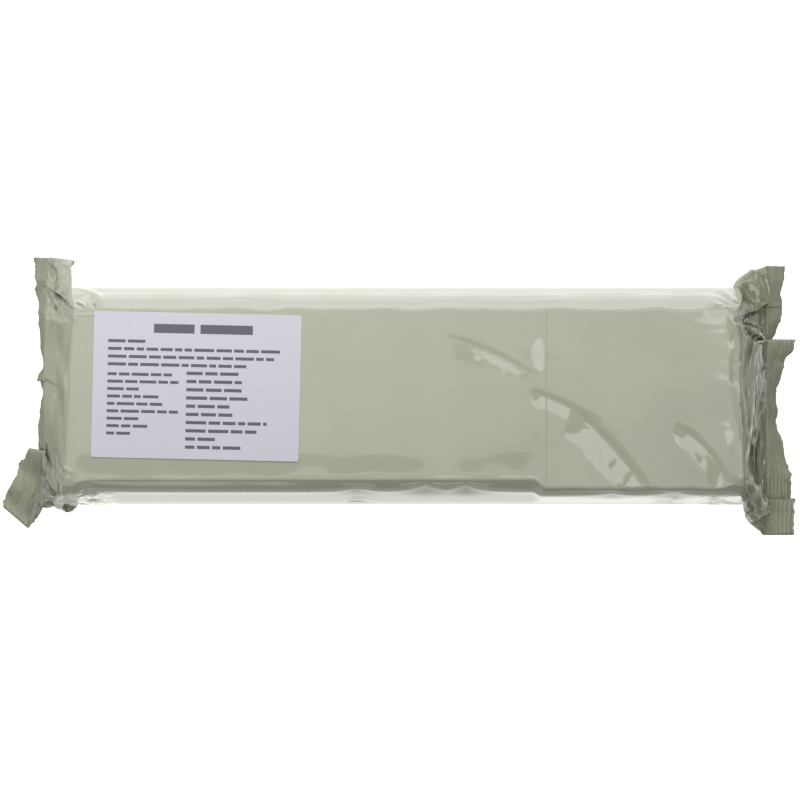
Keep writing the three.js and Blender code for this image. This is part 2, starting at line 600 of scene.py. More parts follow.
@dataclass(frozen=True)
class Pleat:
    """A fold where the seal doubles back on itself.

    at: share of the way; width: how much it doubles; over: 1 if the front part lies on top, -1 if under.
    """

    at: float
    width: float
    over: int


@dataclass
class Seal:
    """A crimped end seal: both layers of the film pressed into one ribbed band, which bends and folds freely.

    reach: x of the pack's end. The noises' wavelengths are in millimetres along the band.
    """

    end: End
    reach: float
    stations: list[Station]
    pleats: list[Pleat]
    seed: int
    half_thickness: float = 0.28
    rib_count: int = 7
    rib_height: float = 0.7
    rows_per_rib: int = 4
    root_run: float = 0.125  # share of the band's width over which the ribs rise from its root
    pleat_gap: float = 0.75
    pleat_fade: float = 7.0
    pleat_turn: float = 0.2  # how far a fold's round edge stands past its straight parts
    waviness: float = 3.0  # degrees
    wave_length: float = 26.0
    flute: float = 0.25
    flute_length: float = 9.0
    flute_change: float = 4.0  # how far the flutes' pattern moves on from the root to the cut edge
    ragged: float = 0.3
    ragged_length: float = 3.5
    path: np.ndarray = field(init=False)
    path_normal: np.ndarray = field(init=False)
    path_twist: np.ndarray = field(init=False)
    path_length: np.ndarray = field(init=False)
    length: float = field(init=False)

    def __post_init__(self) -> None:
        """Works out the folded course of the seal, seen along the band."""
        roots = self.root_at(np.linspace(0, 1, 400))
        self.length = float(np.linalg.norm(np.diff(roots, axis=1), axis=0).sum())
        path = [(0.0, 0.0, 0.0)]
        for pleat in sorted(self.pleats, key=lambda fold: fold.at):
            middle, half, gap = pleat.at * self.length, pleat.width / 2, pleat.over * self.pleat_gap
            back, front = middle - half, middle + half
            path += [
                (front - self.pleat_fade, 0.0, front - self.pleat_fade),
                (front, -gap, back),
                (front + self.pleat_turn, -gap / 2, back),
                (front, 0.0, back),
                (back, 0.0, front),
                (back - self.pleat_turn, gap / 2, front),
                (back, gap, front),
                (back + self.pleat_fade, 0.0, back + self.pleat_fade),
            ]
        path.append((self.length, 0.0, self.length))
        corners = np.array(path)
        along = np.concatenate([[0], np.cumsum(np.linalg.norm(np.diff(corners[:, :2], axis=0), axis=1))])
        dense = np.linspace(0, along[-1], 3000)
        self.path = np.stack([np.interp(dense, along, corners[:, k]) for k in (0, 1)])
        self.path_twist = np.interp(dense, along, corners[:, 2])
        tangent = np.gradient(self.path, axis=1)
        tangent /= np.linalg.norm(tangent, axis=0)
        self.path_normal = np.stack([-tangent[1], tangent[0]])
        self.path_length = dense

    def between(self, share: np.ndarray, name: str, soft: bool = True) -> np.ndarray:
        """A value between the stations.

        Args:
            share: shares of the way along the seal.
            name: the station's field.
            soft: whether it eases from one station to the next.

        Returns:
            The field's value at each share.
        """
        at = np.array([s.at for s in self.stations])
        listed = np.array([getattr(s, name) for s in self.stations])
        here = np.clip(share, 0, 1)
        k = np.clip(np.searchsorted(at, here, side="right") - 1, 0, len(at) - 2)
        part = (here - at[k]) / (at[k + 1] - at[k])
        return listed[k] + (listed[k + 1] - listed[k]) * (part * part * (3 - 2 * part) if soft else part)

    def root_at(self, share: np.ndarray) -> Points:
        """Where the band's root lies, at shares of the way along the seal."""
        x = self.reach - self.end.value * self.between(share, "inset")
        return np.stack([x, self.between(share, "y", soft=False), self.between(share, "z")])

    def frame_at(self, share: np.ndarray) -> tuple[Points, Points, np.ndarray]:
        """The band's directions.

        Args:
            share: shares of the way along the seal.

        Returns:
            Its way out to the cut edge, its upward normal, and its width.
        """
        along = (share * self.length)[None]
        sway = self.waviness * ripple(along, self.wave_length, self.seed)
        drop = np.radians(self.between(share, "drop") + sway)
        turn = np.radians(self.between(share, "turn"))
        level = np.stack([self.end.value * np.cos(turn), np.sin(turn), 0 * turn])
        up = np.array([0, 0, 1.0])[:, None]
        way = level * np.cos(drop) - up * np.sin(drop)
        normal = level * np.sin(drop) + up * np.cos(drop)
        band = self.between(share, "band") + self.ragged * ripple(along, self.ragged_length, self.seed + 2)
        return way, normal, band

    def band_rows(self) -> int:
        """How many rows of points the band has between its root and its cut edge."""
        return self.rib_count * self.rows_per_rib

    def ring(self, round_share: np.ndarray, across: float) -> Points:
        """One closed ring of the film in the seal: out along the upper layer and back along the lower one.

        The layers of a pleat share their place, but each keeps the direction and width of its own stretch.

        Args:
            round_share: how far round the ring each point lies, from 0 to 1.
            across: 0 at the root and 1 at the cut edge.

        Returns:
            One point for each share.
        """
        layer = np.where(round_share < 0.5, 1.0, -1.0)
        layer[[0, len(layer) // 2]] = 0.0
        along = (1 - np.abs(1 - 2 * round_share)) * self.path_length[-1]
        course = [np.interp(along, self.path_length, self.path[k]) for k in (0, 1)]
        facing = [np.interp(along, self.path_length, self.path_normal[k]) for k in (0, 1)]
        lift = layer * self.half_thickness
        share = (course[0] + lift * facing[0]) / self.length
        way, normal, band = self.frame_at(np.interp(along, self.path_length, self.path_twist) / self.length)
        ribs = abs((across * self.rib_count) % 1 - 0.5) * 2 - 0.5
        sideways = share * self.length
        waves = np.stack([sideways, 0 * sideways + across * self.flute_change])
        height = course[1] + lift * facing[1] + self.rib_height * ribs * min(1, across / self.root_run)
        height += self.flute * across * ripple(waves, self.flute_length, self.seed + 1)
        return self.root_at(share) + way * (across * band) + normal * height


# -----------------------------------------------------------------------------------------------------------
# The film between the block and a seal


@dataclass(frozen=True)
class Spring:
    """Pairs of points of the sheet that keep their distance, all moved at once as no point is in two pairs.

    first, second: rows and columns of the points; turn: columns that the second set is turned round the tube,
    to meet its partners; across, along: how many columns and rows apart they are.
    """

    first: tuple[slice, slice]
    second: tuple[slice, slice]
    turn: int
    across: int
    along: int
    stiffness: float
    least: float = 1e-6

    def pull(self, points: Grid, loose: np.ndarray, rest: np.ndarray) -> None:
        """Moves each pair towards its rest distance.

        Args:
            points: the sheet, changed in place.
            loose: (rows, columns) 1 where a point may move and 0 where it is held.
            rest: (rows, columns) rest distance by the first point.
        """
        a, b = (slice(None), *self.first), (slice(None), *self.second)
        far, far_loose = points[b], loose[self.second]
        if self.turn:
            far = np.roll(far, -self.turn, axis=2)
            far_loose = np.roll(far_loose, -self.turn, axis=1)
        near_loose = loose[self.first]
        gap = far - points[a]
        length = np.sqrt((gap * gap).sum(axis=0)) + self.least
        movable = np.maximum(near_loose + far_loose, 1)
        gap *= self.stiffness * (length - rest[self.first]) / (length * movable)
        points[a] += gap * near_loose
        gap *= far_loose
        if self.turn:
            gap = np.roll(gap, self.turn, axis=2)
        points[b] -= gap


def springs(rows: int, bending: float, shear: float = 0.6) -> list[Spring]:
    """The springs of a tube of sheet: along, round, across both diagonals, and against bending.

    Args:
        rows: rows of points along the tube.
        bending: stiffness of the springs that skip a point.
        shear: stiffness of the diagonal ones.

    Returns:
        All springs, in the order in which they are pulled.
    """
    every = slice(None)
    even, odd = slice(0, None, 2), slice(1, None, 2)
    found = []
    for k in (0, 1):
        found.append(Spring((slice(k, rows - 1, 2), every), (slice(k + 1, rows, 2), every), 0, 0, 1, 1.0))
    found.append(Spring((every, even), (every, odd), 0, 1, 0, 1.0))
    found.append(Spring((every, odd), (every, even), 1, 1, 0, 1.0))
    for k in (0, 1):
        near, far = slice(k, rows - 1, 2), slice(k + 1, rows, 2)
        for turn in (1, -1):
            found.append(Spring((near, every), (far, every), turn, 1, 1, shear))
    for k in range(4):
        found.append(Spring((slice(k, rows - 2, 4), every), (slice(k + 2, rows, 4), every), 0, 0, 2, bending))
    for k in (0, 1):
        near, far = slice(k, None, 4), slice(k + 2, None, 4)
        found.append(Spring((every, near), (every, far), 0, 2, 0, bending))
        found.append(Spring((every, far), (every, near), 1, 2, 0, bending))
    return found


@dataclass
class FilmEnd:
    """The film at one end: off the block, over its end wall and into the seal.

    free: length of film between the block's top and the seal; rise: by what share it is shorter over the top
    and longer under the base, which lifts the seal; taut: half the width over which it is pulled straight
    from the top to the seal; on_block: how far it is solved along the block; crumple, crumple_length: height
    and wavelength of the random start; slack_run: film over which that start fades out at both ends; girth:
    the tube's girth as a share of the block's; gather: film over which its girth changes to the seal's length.
    """

    block: Block
    seal: Seal
    seed: int
    free: float = 35.2
    rise: float = 0.0
    taut: float = 0.0
    on_block: float = 20.0
    columns: int = 320
    rows: int = 65
    levels: int = 3
    steps: tuple[int, ...] = (350, 300, 240)
    bending: tuple[float, ...] = (0.10, 0.05, 0.025)
    crumple: float = 0.9
    crumple_length: float = 14.0
    slack_run: float = 6.0
    girth: float = 1.004
    gather: float = 14.0
    rise_run: Pair = (-4.0, 2.0)  # from the block's edge, over which rise fades out
    momentum: float = 0.9
    grip: float = 0.25
    sheet_gap: float = 0.35
    parting: float = 0.5  # share of the free film over which the layers turn upright
    cling_from: float = 2.5
    cling_depth: float = 1.0
    blend: float = 9.0

    def panel(self, rows: int, columns: int) -> np.ndarray:
        """Where the film is pulled straight from the block's top to the seal.

        Args:
            rows, columns: the sheet's size.

        Returns:
            (rows, columns) True where it is.
        """
        y = self.block.section(np.arange(columns) / columns)[0]
        over = (np.arange(columns) < columns / 2) & (np.abs(y) < self.taut)
        return np.broadcast_to(over, (rows, columns))

    def held(self, points: Grid) -> np.ndarray:
        """Where the film can't move: at its two ends, where it clings to the block, and where it is taut.

        Args:
            points: the sheet.

        Returns:
            (rows, columns) True where it is held.
        """
        inside = self.seal.end.value * (self.block.end_x(self.seal.end) - points[0])
        still = (inside > self.cling_from) & (points[2] > self.block.height - self.cling_depth)
        still |= self.panel(*points.shape[1:])
        still[0] = True
        still[-1] = True
        return still

    def start(self, rows: int, columns: int) -> Grid:
        """The film before it is let go: straight from the block's end to the seal's root.

        Args:
            rows, columns: the sheet's size.

        Returns:
            The sheet, a little crumpled.
        """
        y, z = self.block.section(np.arange(columns) / columns)
        out, end = self.seal.end.value, self.seal.end
        root = self.seal.ring(np.arange(columns) / columns, 0.0)
        lip = np.stack([self.block.face_x(end, y, z), y, z])
        last = lip.copy()
        last[0] = self.block.end_x(end) - out * self.on_block
        along = np.linspace(0, self.free + self.on_block, rows)
        sheet = np.empty((3, rows, columns))
        for i, distance in enumerate(along):
            if distance < self.free:
                sheet[:, i] = root + (lip - root) * (distance / self.free)
            else:
                sheet[:, i] = lip + (last - lip) * ((distance - self.free) / self.on_block)
        weight = ease(along, 0, self.slack_run) * (1 - ease(along, self.free, self.free + self.slack_run))
        weight = weight[:, None] * ~self.panel(rows, columns)
        for axis in range(3):
            sheet[axis] += self.crumple * weight * ripple(sheet, self.crumple_length, self.seed + axis)
        return sheet

    def finer(self, sheet: Grid) -> Grid:
        """The same sheet with twice the points each way.

        Args:
            sheet: the coarse sheet.

        Returns:
            The fine one, with new points halfway between the old ones.
        """
        wide = np.empty((3, sheet.shape[1], sheet.shape[2] * 2))
        wide[:, :, 0::2] = sheet
        wide[:, :, 1::2] = (sheet + np.roll(sheet, -1, axis=2)) / 2
        tall = np.empty((3, wide.shape[1] * 2 - 1, wide.shape[2]))
        tall[:, 0::2] = wide
        tall[:, 1::2] = (wide[:, :-1] + wide[:, 1:]) / 2
        return tall

    def keep_layers_apart(self, sheet: Grid, root: Points, normal: Points, loose: np.ndarray) -> None:
        """Keeps the lower layer under the band, and the upper layer above the lower one.

        Args:
            sheet: the sheet, changed in place.
            root: the seal's root, a point for each column.
            normal: the band's upward normal there.
            loose: (rows, columns) 1 where a point may move and 0 where it is held.
        """
        columns = sheet.shape[2]
        half = columns // 2
        near = max(2, int(sheet.shape[1] * self.free / (self.free + self.on_block)))
        lower = slice(half + 1, columns)
        behind = ((sheet[:, :near, lower] - root[:, None, lower]) * normal[:, None, lower]).sum(axis=0)
        excess = np.maximum(behind + self.sheet_gap, 0) * loose[:near, lower]
        sheet[:, :near, lower] -= normal[:, None, lower] * excess
        rise = ease(np.arange(near) / near, 0.0, self.parting)[None, :, None]
        upward = normal[:, None, 1:half] * (1 - rise) + np.array([0, 0, 1.0])[:, None, None] * rise
        upward /= np.linalg.norm(upward, axis=0)
        upper, mirror = sheet[:, :near, 1:half], sheet[:, :near, :half:-1]
        short = np.maximum(self.sheet_gap - ((upper - mirror) * upward).sum(axis=0), 0) / 2
        upper += upward * short * loose[:near, 1:half]
        mirror -= upward * short * loose[:near, :half:-1]

    def rests(self, nets: list[Spring], rows: int, columns: int) -> list[np.ndarray]:
        """The rest distances of the springs.

        Args:
            nets: the springs.
            rows, columns: the sheet's size.

        Returns:
            (rows, columns) distances for each of the springs.
        """
        along = np.linspace(0, self.free + self.on_block, rows)
        width = self.block.perimeter * self.girth / columns
        root_width = self.seal.path_length[-1] * 2 / columns
        widths = (width + (root_width - width) * (1 - ease(along, 0, self.gather)))[:, None]
        lift = 1 - self.rise * np.sin(2 * pi * np.arange(columns) / columns)
        level = ease(along, self.free + self.rise_run[0], self.free + self.rise_run[1])[:, None]
        depths = (self.free + self.on_block) / (rows - 1) * (lift + (1 - lift) * level)
        return [np.sqrt((net.across * widths) ** 2 + (net.along * depths) ** 2) for net in nets]

    def band_normal(self, columns: int) -> Points:
        """The band's upward normal at its root.

        Args:
            columns: how many columns the sheet has.

        Returns:
            One direction for each column.
        """
        half = columns // 2
        step = np.where(np.arange(columns) <= half, np.arange(columns), columns - np.arange(columns))
        seal = self.seal
        course = np.interp(step / half * seal.path_length[-1], seal.path_length, seal.path[0])
        return seal.frame_at(course / seal.length)[1]

    def settle(self, sheet: Grid, steps: int, bending: float) -> None:
        """Lets the sheet move until its distances are right again.

        Args:
            sheet: the sheet, changed in place.
            steps: how many steps it gets.
            bending: how stiffly it resists bending.
        """
        rows, columns = sheet.shape[1:]
        loose = 1.0 - self.held(sheet)
        nets = springs(rows, bending)
        pairs = list(zip(nets, self.rests(nets, rows, columns)))
        normal = self.band_normal(columns)
        root = sheet[:, 0].copy()
        before = sheet.copy()
        for _ in range(steps):
            move = (sheet - before) * self.momentum * loose
            before = sheet.copy()
            sheet += move
            pairs.reverse()  # so that neither diagonal always has the last word
            for net, rest in pairs:
                net.pull(sheet, loose, rest)
            self.keep_layers_apart(sheet, root, normal, loose)
            kept = sheet.copy()
            self.block.push_out(sheet, before, self.grip)
            sheet[:] = kept + (sheet - kept) * loose
            sheet[2] = np.maximum(sheet[2], 0.0)

    def solve(self, places: np.ndarray) -> Grid:
        """Lets the film settle, coarse first and then finer.

        Args:
            places: how far round the tube each column that is wanted lies, from 0 to 1.

        Returns:
            (3, rows, places) points, from the seal's root to the last row on the block.
        """
        scale = 2 ** (self.levels - 1)
        sheet = self.start((self.rows - 1) // scale + 1, self.columns // scale)
        for level in range(self.levels):
            if level:
                sheet = self.finer(sheet)
                even = np.arange(sheet.shape[2]) / sheet.shape[2]
                sheet[:, 0] = self.seal.ring(even, 0.0)
                sheet[1:, -1] = self.block.section(even)
            self.settle(sheet, self.steps[level], self.bending[level])
        column = places * self.columns
        before = np.floor(column).astype(int)
        t = column - before
        p0, p1, p2, p3 = (sheet[:, :, (before + k) % self.columns] for k in (-1, 0, 1, 2))
        bent = 2 * p0 - 5 * p1 + 4 * p2 - p3 + t * (3 * p1 - 3 * p2 + p3 - p0)
        smooth = p1 + 0.5 * t * (p2 - p0 + t * bent)
        smooth[:, 0] = self.seal.ring(places, 0.0)
        straight = self.block.section(places)[:, None]
        share = ease(np.linspace(1, 0, smooth.shape[1]), 0, self.blend / (self.free + self.on_block))[:, None]
        smooth[1:] = straight + (smooth[1:] - straight) * share
        return smooth


# -----------------------------------------------------------------------------------------------------------
# The film along the block


@dataclass(frozen=True)
class Furrow:
    """A shallow furrow of the face along a curved line, as where a film is pulled tight over a dent.

    It has a steep side on the left of its way and a long flat slope on the right. start, bend, stop: the
    curve's ends and its control point; depth: of the line; steep, flat: width of each side; lead: how long it
    takes to reach its depth, and to lose it again.
    """

    start: Pair
    bend: Pair
    stop: Pair
    depth: float
    steep: float
    flat: float
    lead: float

    def sink(self, x: np.ndarray, y: np.ndarray) -> np.ndarray:
        """How deep the furrow is.

        Args:
            x, y: places on the face.

        Returns:
            Its depth at each place.
        """
        t = np.linspace(0, 1, 41)[:, None]
        start, bend, stop = (np.array(p) for p in (self.start, self.bend, self.stop))
        line = (1 - t) ** 2 * start + 2 * t * (1 - t) * bend + t * t * stop
        lengths = np.concatenate([[0], np.cumsum(np.linalg.norm(np.diff(line, axis=0), axis=1))])
        ways = np.gradient(line, axis=0)
        ways /= np.linalg.norm(ways, axis=1, keepdims=True)
        best = np.full(x.shape, np.inf)
        along, across = 0 * x, 0 * x
        for (px, py), (wx, wy), length in zip(line, ways, lengths):
            far = (x - px) ** 2 + (y - py) ** 2
            nearer = far < best
            best = np.where(nearer, far, best)
            along = np.where(nearer, length + (x - px) * wx + (y - py) * wy, along)
            across = np.where(nearer, (y - py) * wx - (x - px) * wy, across)
        flat = self.flat * (1 + Waves(0.07, 8.0, 52, (1, 1)).at(x, y))
        slope = np.clip(np.where(across > 0, 1 - across / self.steep, 1 + across / flat), 0, 1)
        total = lengths[-1]
        fade = ease(along, 0, self.lead) * (1 - ease(along, total - self.lead, total))
        return self.depth * slope * fade


@dataclass(frozen=True)
class Waves:
    """Smooth random waves of the film.

    height: their spread; length: the middle of their lengths; seed: picks them; stretch: what each coordinate
    is multiplied by, less than 1 for waves that are longer that way.
    """

    height: float
    length: float
    seed: int
    stretch: tuple[float, ...]

    def at(self, *places: np.ndarray) -> np.ndarray:
        """The waves' height at some places, given by their coordinates."""
        scaled = np.stack([k * place for k, place in zip(self.stretch, places)])
        return self.height * ripple(scaled, self.length, self.seed)


@dataclass
class Relief:
    """What the film does along the block: a crease, furrows in the face, and a near wall in scallops.

    A pair named for a run holds the places over which something comes in or goes out.
    """

    block: Block
    left_run: Pair = (-1.0, 14.0)  # from the block's left end
    right_run: Pair = (-10.0, 1.0)  # from its right end
    face_run: Pair = (-3.0, -0.5)  # from its top
    crease_x: float = 74.6
    crease_depth: float = 0.2
    crease_run: float = 7.0
    crease_edge: float = 0.9
    furrows: tuple[Furrow, ...] = (
        Furrow((20.0, 31.0), (48.0, 26.0), (74.0, 7.0), 0.45, 1.2, 10.0, 15.0),
        Furrow((66.0, 3.0), (84.0, -2.0), (104.0, -15.0), 0.8, 1.4, 6.5, 8.0),
        Furrow((86.0, -6.0), (110.0, -21.0), (128.0, -48.0), 1.4, 1.8, 12.0, 13.0),
        Furrow((138.0, -14.0), (160.0, -22.0), (168.0, -46.0), 0.95, 1.5, 7.5, 12.0),
    )
    front_shift: Pair = (1.8, -2.3)  # of the front edge, left and right of the crease
    front_step: Pair = (-6.5, 0.5)  # from the crease
    front_waves: Waves = Waves(0.35, 31.0, 41, (1,))
    front_waves_run: float = 10.0
    far_waves: Waves = Waves(0.4, 37.0, 43, (1,))
    edge_run: Pair = (14.0, -1.0)  # from the middle, and from the edge of the face
    wall_run: Pair = (10.0, -6.0)  # from the base, and from the top
    overhang: float = 0.2  # share of a front edge's step outwards that the wall under it takes
    ridge: float = 0.22
    ridge_width: Pair = (-2.4, -0.6)  # from the edge of the face
    ridge_from: Pair = (-60.0, -40.0)
    ridge_to: Pair = (66.0, 72.0)
    ridge_share: float = 0.8
    ridge_waves: Waves = Waves(0.3, 28.0, 44, (1, 0.3))
    sag: float = 0.7
    sag_width: Pair = (29.0, -1.5)  # from the middle, and from the edge of the face
    sag_to: Pair = (60.0, 72.0)
    sag_drop: float = 0.6  # share that is lost along sag_drop_run
    sag_drop_run: Pair = (-50.0, 30.0)
    sag_waves: Waves = Waves(0.25, 30.0, 49, (1, 1))
    unevenness: Waves = Waves(0.11, 62.0, 45, (1, 1.6))
    label_from: Pair = (-170.0, -160.0)  # the label keeps its flat bed
    label_to: Pair = (-50.0, -44.0)
    grain: Waves = Waves(0.006, 4.0, 48, (1 / 9, 1))
    grain_from: Pair = (20.0, 60.0)
    cusps: tuple[Pair, ...] = ((-158, 1.5), (-20, 1.8), (13.9, 3.6), (34.1, 3.6), (108, 1.5), (139, 2))
    cusp_run: float = 7.0
    cusp_height: float = 9.0
    crumples: tuple[Pair, ...] = ((139.0, 8.0), (-21.0, 5.0), (160.0, 5.0))
    crumple_waves: Waves = Waves(0.3, 6.0, 46, (1, 0.8))
    far_wall_waves: Waves = Waves(0.02, 9.0, 47, (1 / 9, 1))
    low_run: Pair = (2.0, 8.0)  # from the base
    high_run: Pair = (-6.0, -1.0)  # from the top
    panel_waves: Waves = Waves(0.35, 8.0, 50, (1, 0.35))
    panel_from: Pair = (0.0, 2.5)  # from the block's left end, outwards
    panel_to: Pair = (6.0, 9.0)
    panel_height: Pair = (49.0, 52.0)
    panel_width: Pair = (36.0, 42.0)

    def crease(self, x: np.ndarray) -> np.ndarray:
        """How far the film sinks towards the crease, which it leaves at once on its other side."""
        sink = ease(x, self.crease_x - self.crease_run, self.crease_x)
        return self.crease_depth * sink * (1 - ease(x, self.crease_x, self.crease_x + self.crease_edge))

    def scallops(self, x: np.ndarray) -> np.ndarray:
        """How far the near wall's shoulder is drawn in: sharply at each cusp, with hanging arcs between.

        Args:
            x: places along the block.

        Returns:
            The distance at each.
        """
        total = 0 * x
        for place, size in self.cusps:
            total = np.maximum(total, size * np.exp(-np.abs(x - place) / self.cusp_run))
        return total

    def edges(self, x: np.ndarray, y: np.ndarray, z: np.ndarray) -> np.ndarray:
        """How far the face's two long edges and the walls under them move along Y.

        Args:
            x, y, z: points of the film.

        Returns:
            The shift of each.
        """
        height, edge = self.block.height, self.block.top_half
        left, right = self.front_shift
        start, stop = self.front_step
        front = left + (right - left) * ease(x, self.crease_x + start, self.crease_x + stop)
        front += self.front_waves.at(x) * ease(x, self.crease_x, self.crease_x + self.front_waves_run)
        under = ease(z, self.block.near_shoulder - 2, height + self.face_run[1])
        share = np.where(front > 0, 1.0, self.overhang + (1 - self.overhang) * under)
        inner, outer = self.edge_run[0], edge + self.edge_run[1]
        shift = front * share * ease(-y, inner, outer) - self.far_waves.at(x) * ease(y, inner, outer)
        return shift * ease(z, self.wall_run[0], height + self.wall_run[1])

    def face(self, x: np.ndarray, y: np.ndarray) -> np.ndarray:
        """How far the face stands above or below the block's flat top.

        Args:
            x, y: places on the face.

        Returns:
            The height of each.
        """
        edge = self.block.top_half
        line = ease(-y, edge + self.ridge_width[0], edge + self.ridge_width[1])
        line = line * ease(x, *self.ridge_from) * (1 - ease(x, *self.ridge_to))
        ridge = self.ridge * line * (self.ridge_share + self.ridge_waves.at(x, y))
        slack = self.sag * (1 - self.sag_drop * ease(x, *self.sag_drop_run)) * (1 + self.sag_waves.at(x, y))
        slack = slack * ease(-y, self.sag_width[0], edge + self.sag_width[1]) * (1 - ease(x, *self.sag_to))
        clear = 1 - ease(x, *self.label_from) * (1 - ease(x, *self.label_to))
        fine = self.grain.at(x, y) * ease(x, *self.grain_from)
        sink = self.crease(x) + sum(furrow.sink(x, y) for furrow in self.furrows)
        return ridge - slack + self.unevenness.at(x, y) * clear + fine - sink

    def walls(self, x: np.ndarray, y: np.ndarray, z: np.ndarray) -> np.ndarray:
        """How far the film of the two long walls moves along Y: scallops and crumples near, fine waves far.

        Args:
            x, y, z: points of the film.

        Returns:
            The shift of each.
        """
        height, shoulder = self.block.height, self.block.near_shoulder
        fold = self.scallops(x) * np.exp(-(((z - shoulder) / self.cusp_height) ** 2))
        fold = fold * (1 - ease(z, shoulder + 2, height - 1))
        side = (1 - ease(z - height, *self.high_run)) * ease(z, *self.low_run)
        patch = sum(np.exp(-(((x - place) / run) ** 2)) for place, run in self.crumples)
        near = fold + np.abs(self.crumple_waves.at(x, z)) * patch * side
        return near * (y < 0) + self.far_wall_waves.at(x, z) * side * (y > 0)

    def panel(self, x: np.ndarray, y: np.ndarray, z: np.ndarray) -> np.ndarray:
        """How far the film between the block's left end and the seal is wavy.

        Args:
            x, y, z: points of the film.

        Returns:
            The height of each.
        """
        beyond = self.block.left_end + self.block.left_skew * y - x
        here = ease(beyond, *self.panel_from) * (1 - ease(beyond, *self.panel_to))
        here = here * ease(z, *self.panel_height) * (1 - ease(np.abs(y), *self.panel_width))
        return self.panel_waves.at(x, y) * here

    def shape(self, sheet: Grid) -> None:
        """Moves the film along the block to its creased shape.

        Args:
            sheet: the film, changed in place.
        """
        x, y, z = sheet.copy()
        here = ease(x - self.block.left_end, *self.left_run)
        here = here * (1 - ease(x - self.block.right_end, *self.right_run))
        sheet[1] += (self.edges(x, y, z) + self.walls(x, y, z)) * here
        sheet[2] += self.face(x, y) * here * ease(z - self.block.height, *self.face_run)
        sheet[2] += self.panel(x, y, z)


# -----------------------------------------------------------------------------------------------------------
# The whole wrap


